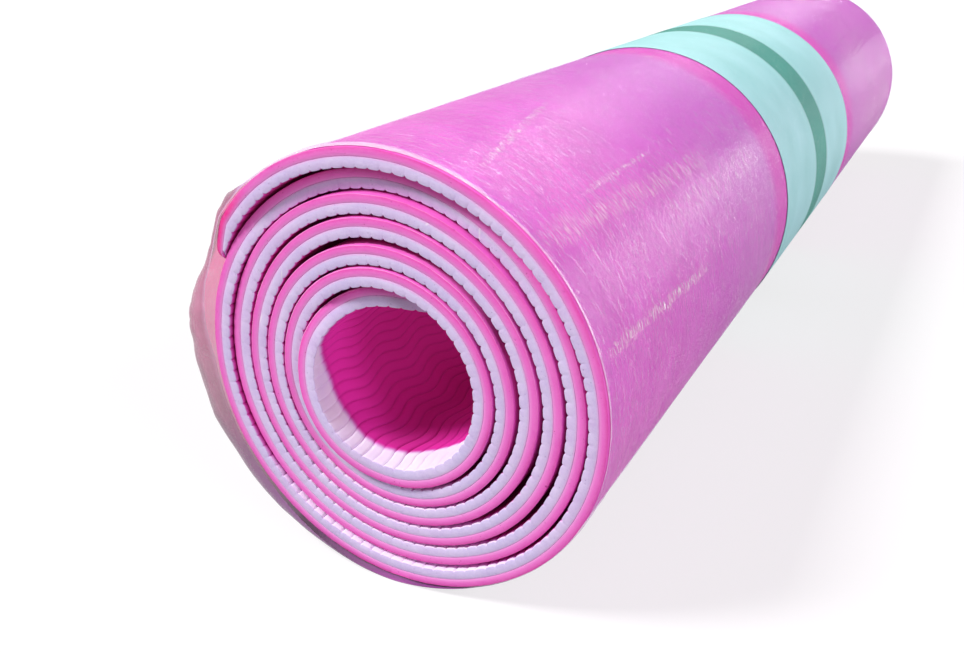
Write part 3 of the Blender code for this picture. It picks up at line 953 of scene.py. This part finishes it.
# Where the film begins to look gathered and where it does fully, in millimetres off the roll
GATHERED_STAND = (0.64, 2.24)


def taut_radius(angle):
    """How far the taut outline round the wound mat is from the roll's axis in each direction."""
    way = round_axis(1.0, angle)
    edge = np.roll(HULL, -1, 0) - HULL
    across = edge[:, 0] * way[..., None, 1] - edge[:, 1] * way[..., None, 0]
    reach = edge[:, 0] * HULL[:, 1] - edge[:, 1] * HULL[:, 0]
    with np.errstate(divide="ignore"):
        found = np.where(across < 0, reach / across, np.inf)
    return found.min(-1)


def paper_band():
    turn = np.linspace(0, math.tau + LABEL_LAP, LABEL_STEPS)
    angle = (LABEL_LAP_ANGLE + turn)[:, None]
    lift = LABEL_OFFSET + LABEL_LAP_RISE * ease(math.tau - LABEL_LAP_TURN, math.tau, turn)
    radius = taut_radius(angle[:, 0])[:, None] + lift[:, None]
    ragged = LABEL_WANDER * wander(turn, LABEL_WANDER_TURN, seed=9.0)
    y = np.linspace(-0.5, 0.5, LABEL_ROWS) * LABEL_WIDTH + ragged[:, None]
    inner = placed(radius, angle, y, LABEL_FLOOR)
    outer = placed(radius + LABEL_THICKNESS, angle, y, LABEL_FLOOR - LABEL_THICKNESS)
    points, faces = closed_loft(np.concatenate([inner, outer[:, ::-1]], 1))
    return add_mesh("paper_band", points, faces, [paper_material()])


def film_rows(bulge, edge_off, edge_in):
    """How far the film's points lie behind the end plane and stand off the roll, row by row."""
    quarter = np.linspace(math.pi / 2, 0, MOUTH_ROWS)[:, None]
    mouth = BULGE_PLACE - (BULGE_PLACE - edge_in) * np.sin(quarter)
    mouth_stand = edge_off + (bulge - edge_off) * np.cos(quarter)
    down = np.arange(*BULGE_ROWS)
    down_stand = bulge * ease(BULGE_FOOT, BULGE_PLACE, down)[:, None]
    taut = np.arange(down[-1] + FILM_ROW_STEP, MAT_WIDTH - FILM_END_GAP, FILM_ROW_STEP)
    turned = np.linspace(0, math.pi / 2, FAR_ROWS)
    far = MAT_WIDTH - FAR_GAP + FAR_REACH * np.sin(turned)
    straight = np.concatenate([down, taut, far])[:, None]
    far_stand = np.concatenate([np.zeros(len(taut)), FAR_STAND * np.cos(turned)])[:, None]
    return (np.concatenate([mouth, np.repeat(straight, FILM_COLUMNS, 1)]),
            np.concatenate([mouth_stand, down_stand, np.repeat(far_stand, FILM_COLUMNS, 1)]))


def film_crumple(angle, from_end):
    """Uneven swelling of the slack film near the open end."""
    crumple = np.zeros(from_end.shape)
    for row in np.flatnonzero(from_end[:, 0] <= CRUMPLE_END):
        for column, turned in enumerate(angle):
            around = Vector((CRUMPLE_ROUND * math.cos(turned), CRUMPLE_ROUND * math.sin(turned),
                             from_end[row, column] / CRUMPLE_LENGTH))
            finer = around * CRUMPLE_FINER + Vector((3, 1, 0))
            crumple[row, column] = noise.noise(around) + 0.5 * abs(noise.noise(finer))
    return crumple


def film_creases(angle, y):
    """Heights of the film's creases, which run round the roll and lean a little."""
    lean = sum(high * np.sin(waves * angle + phase) for high, waves, phase in CREASE_LEAN)
    across, up, run = np.broadcast_arrays(FILM_RADIUS * np.cos(angle), FILM_RADIUS * np.sin(angle), y + lean)
    heights = np.empty(y.shape)
    for place in np.ndindex(y.shape):
        x, z, along = across[place], up[place], run[place]
        height = 0.0
        for around, length, sharpness, high, start in CREASES:
            fold = noise.noise(Vector((x / around + start, z / around, along / length)))
            height += high * max(0.0, 1 - sharpness * abs(fold)) ** 2
        patch = noise.noise(Vector((x / CREASE_PATCH, z / CREASE_PATCH + 5, along / CREASE_PATCH)))
        heights[place] = max(0.0, height * (0.75 + 0.9 * patch))
    return heights * MM


def film_uv(angle, from_end):
    """The corners of the film's faces laid flat: round the roll and along it, in metres."""
    around = np.broadcast_to(angle * FILM_RADIUS, from_end.shape)
    along = from_end + FILM_LEAD
    here = np.stack([around, along], -1)
    beside = np.stack([around + FILM_RADIUS * math.tau / FILM_COLUMNS, np.roll(along, -1, 1)], -1)
    return np.stack([here[:-1], beside[:-1], beside[1:], here[1:]], 2)


def film_attributes(degrees, from_end, stand, bulge, points):
    """Where the film is gathered, pale at its free edge with a painted highlight, behind the bulge, under
    the roll in painted shade, and warm with a painted glow.
    """
    fullness = np.where(from_end < BULGE_PLACE, bulge, stand)
    steps = np.linalg.norm(np.diff(points, axis=0), axis=-1)
    from_edge = np.concatenate([np.zeros((1, FILM_COLUMNS)), np.cumsum(steps, 0)])
    band = ease(*BAND_EDGE, from_edge / (np.interp(degrees, *BAND_WIDTH) * MM))
    thread_highlight = ease(*THREAD_HIGHLIGHT_EDGE, from_edge)
    return {
        "gathered": np.interp(fullness / MM, GATHERED_STAND, (0, 1)),
        "free_edge_and_highlight": np.maximum(band * np.interp(degrees, *EDGE_BAND_AND_HIGHLIGHT_STRENGTH),
                                thread_highlight * np.interp(degrees, *THREAD_HIGHLIGHT_STRENGTH)),
        "behind_bulge": ease(BULGE_PLACE, BULGE_PLACE + BEHIND_BULGE_RUN, from_end),
        "painted_underside_shade": np.interp(degrees, *UNDERSIDE_PAINTED_SHADE) * ease(*UNDERSIDE_SHADE_RUN, from_end),
        "warm_and_glow": np.broadcast_to(np.interp(degrees, *CUFF_WARMTH_AND_GLOW), from_end.shape),
    }


def film_sleeve():
    angle = np.linspace(0, math.tau, FILM_COLUMNS, endpoint=False)
    degrees = np.degrees(angle)
    places, *columns = np.array(FILM_MOUTH).T
    bulge, edge_off, edge_in = (np.interp(degrees, places, column) * MM for column in columns)
    from_end, stand = film_rows(bulge, edge_off, edge_in)
    y = OPEN_END_Y + from_end
    over_label = ease(LABEL_WIDTH / 2 + FILM_STEP_LENGTH, LABEL_WIDTH / 2, np.abs(y))
    swell = np.interp(degrees, *CRUMPLE_SWELL) * film_crumple(angle, from_end)
    fade = (ease(0.0, CREASE_END_FADE, from_end)
            * ease(MAT_WIDTH, MAT_WIDTH - CREASE_END_FADE, from_end))
    creases = film_creases(angle, y) * (CREASE_END_SHARE + (1 - CREASE_END_SHARE) * fade)
    creases = creases * (1 - (1 - CREASE_LABEL_SHARE) * over_label)
    offset = FILM_OFFSET + FILM_STEP * over_label + stand * (1 + swell) + creases
    points = placed(taut_radius(angle) + offset, angle, y, FILM_FLOOR)

    index = np.arange(y.size).reshape(y.shape)
    after = np.roll(index, -1, 1)
    quads = np.stack([index[:-1], after[:-1], after[1:], index[1:]], -1).reshape(-1, 4)
    piece = add_mesh("clear_film", points.reshape(-1, 3), quads.tolist(), [film_material()],
                     FILM_SMOOTH_ANGLE)
    flat = piece.data.uv_layers.new(name="around_and_along")
    flat.data.foreach_set("uv", film_uv(angle, from_end).ravel())
    set_attributes(piece, {"over_label": over_label,
                           **film_attributes(degrees, from_end, stand, bulge, points)})
    return piece


# The stage

# The floor's white for the camera and mirrors, near the roll and further off
FLOOR_HALF_SIZE = 12.0
FLOOR_TONE = (0.28, 0.28, 0.28, 1.0)
FLOOR_WHITENESS = (0.72, 0.86)
FLOOR_WHITENESS_RUN = (0.3, 2.5)

# The light of the room all round
ROOM_LEVEL = 0.21
ROOM_TINT = (1.0, 0.76, 0.92, 1.0)

# Lights: name, place, the point that they face, width, length, level, tint, and if they show in gloss only
MOUTH = (0.0, -0.2, 0.07)
LIGHTS = (
    ("key", (-6.03, -5.46, 9.02), MOUTH, 3.0, 3.0, 1.08, (1, 1, 1), False),
    ("front_right", (9.6, -4.1, 3.3), MOUTH, 2.6, 2.6, 0.31, (0.94, 0.85, 1.0), False),
    ("right", (9.8, 2.6, 6.7), MOUTH, 3.0, 3.0, 0.32, (1.0, 0.93, 1.0), False),
    ("top_strip", (-0.09, 1.3, 0.5), (0.0, 1.3, 0.1), 0.03, 2.4, 3.0, (1, 1, 1), True),
    ("side_strip", (0.60, 1.3, 0.28), (0.0, 1.3, 0.1), 0.30, 3.0, 3.0, (1, 1, 1), True),
    ("low_strip", (0.185, 1.0, 0.022), (0.0, 1.0, 0.1), 0.012, 1.7, 1.4, (1.0, 0.95, 0.88), True),
)

# The camera as fitted to the photo: its place and its own axes
CAMERA_LENS = 35.93
CAMERA_SENSOR_WIDTH = 36
CAMERA_CLIP = (0.01, 50)
CAMERA_PLACE = Vector((0.14007, -0.50984, 0.19368))
CAMERA_RIGHT = Vector((0.8852821, 0.46505441, 0.0))
CAMERA_UP = Vector((-0.18533206, 0.3527999, 0.91716097))
CAMERA_VIEW = Vector((-0.42652976, 0.81194619, -0.39851693))


def seen_rays(made):
    """One for what the camera sees, also in mirrors and through clear things, nothing for other light."""
    path = made.add("ShaderNodeLightPath").outputs
    return made.most(path["Is Camera Ray"], path["Is Glossy Ray"], path["Is Transmission Ray"])


def floor():
    half = FLOOR_HALF_SIZE
    corners = [(-half, -half, 0), (half, -half, 0), (half, half, 0), (-half, half, 0)]
    mesh = bpy.data.meshes.new("studio_floor")
    mesh.from_pydata(corners, [], [(0, 1, 2, 3)])
    made = Nodes(bpy.data.materials.new("pale_floor"))
    made.set(Base_Color=FLOOR_TONE, Roughness=0.9, Specular_IOR_Level=0.0)
    away = made.add("ShaderNodeVectorMath", {"operation": "LENGTH"})
    made.put(away.inputs[0], made.coords())
    whiteness = made.range(away.outputs["Value"], *FLOOR_WHITENESS_RUN, *FLOOR_WHITENESS)
    white = made.add("ShaderNodeEmission", Color=WHITE, Strength=made.times(seen_rays(made), whiteness))
    both = made.add("ShaderNodeAddShader")
    made.put(both.inputs[0], made.shader.outputs["BSDF"])
    made.put(both.inputs[1], white.outputs["Emission"])
    made.put(made.tree.nodes["Material Output"].inputs["Surface"], both.outputs["Shader"])
    mesh.materials.append(made.owner)
    piece = add_object("studio_floor", mesh)


def world():
    """An even room, slightly pink. What the camera and mirrors see of it is white."""
    made = Nodes(bpy.data.worlds.new("pale_room"), "Background")
    seen = seen_rays(made)
    made.set(Color=made.mix(seen, ROOM_TINT, WHITE), Strength=made.range(seen, 0.0, 1.0, ROOM_LEVEL, 1.0))
    bpy.context.scene.world = made.owner


def standing(place, *axes):
    return Matrix.Translation(place) @ Matrix(axes).transposed().to_4x4()


def area_light(name, place, target, width, length, level, tint, gloss_only):
    """A rectangular light whose length runs along Y. Its level is what white shows at the target."""
    data = bpy.data.lights.new(name, "AREA")
    data.shape = "RECTANGLE"
    data.size = width
    data.size_y = length
    place, target = Vector(place), Vector(target)
    data.energy = level * (math.pi * (target - place).length) ** 2
    data.color = tint
    light = add_object(name, data)
    backwards = (place - target).normalized()
    sideways = Vector((0, 1, 0)).cross(backwards).normalized()
    light.matrix_world = standing(place, sideways, backwards.cross(sideways), backwards)
    light.visible_camera = False
    light.visible_diffuse = not gloss_only


def camera():
    data = bpy.data.cameras.new("camera")
    data.lens = CAMERA_LENS
    data.sensor_width = CAMERA_SENSOR_WIDTH
    data.clip_start, data.clip_end = CAMERA_CLIP
    taken = add_object("camera", data)
    taken.matrix_world = standing(CAMERA_PLACE, CAMERA_RIGHT, CAMERA_UP, -CAMERA_VIEW)
    bpy.context.scene.camera = taken


def main():
    bpy.context.scene.view_settings.view_transform = "Standard"
    ribbed = ribbed_layer()
    top = top_layer()
    band = paper_band()
    film = film_sleeve()
    for piece, node, slot in (
        (ribbed, "mat_ribbed_layer", "ribbed_foam"),
        (top, "mat_top_layer", "top_foam"),
        (band, "label_band", "band_paper"),
        (film, "film_sleeve", "clear_film"),
    ):
        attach(piece, "root")
        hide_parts(node)
    floor()
    world()
    for light in LIGHTS:
        area_light(*light)
    camera()


main()
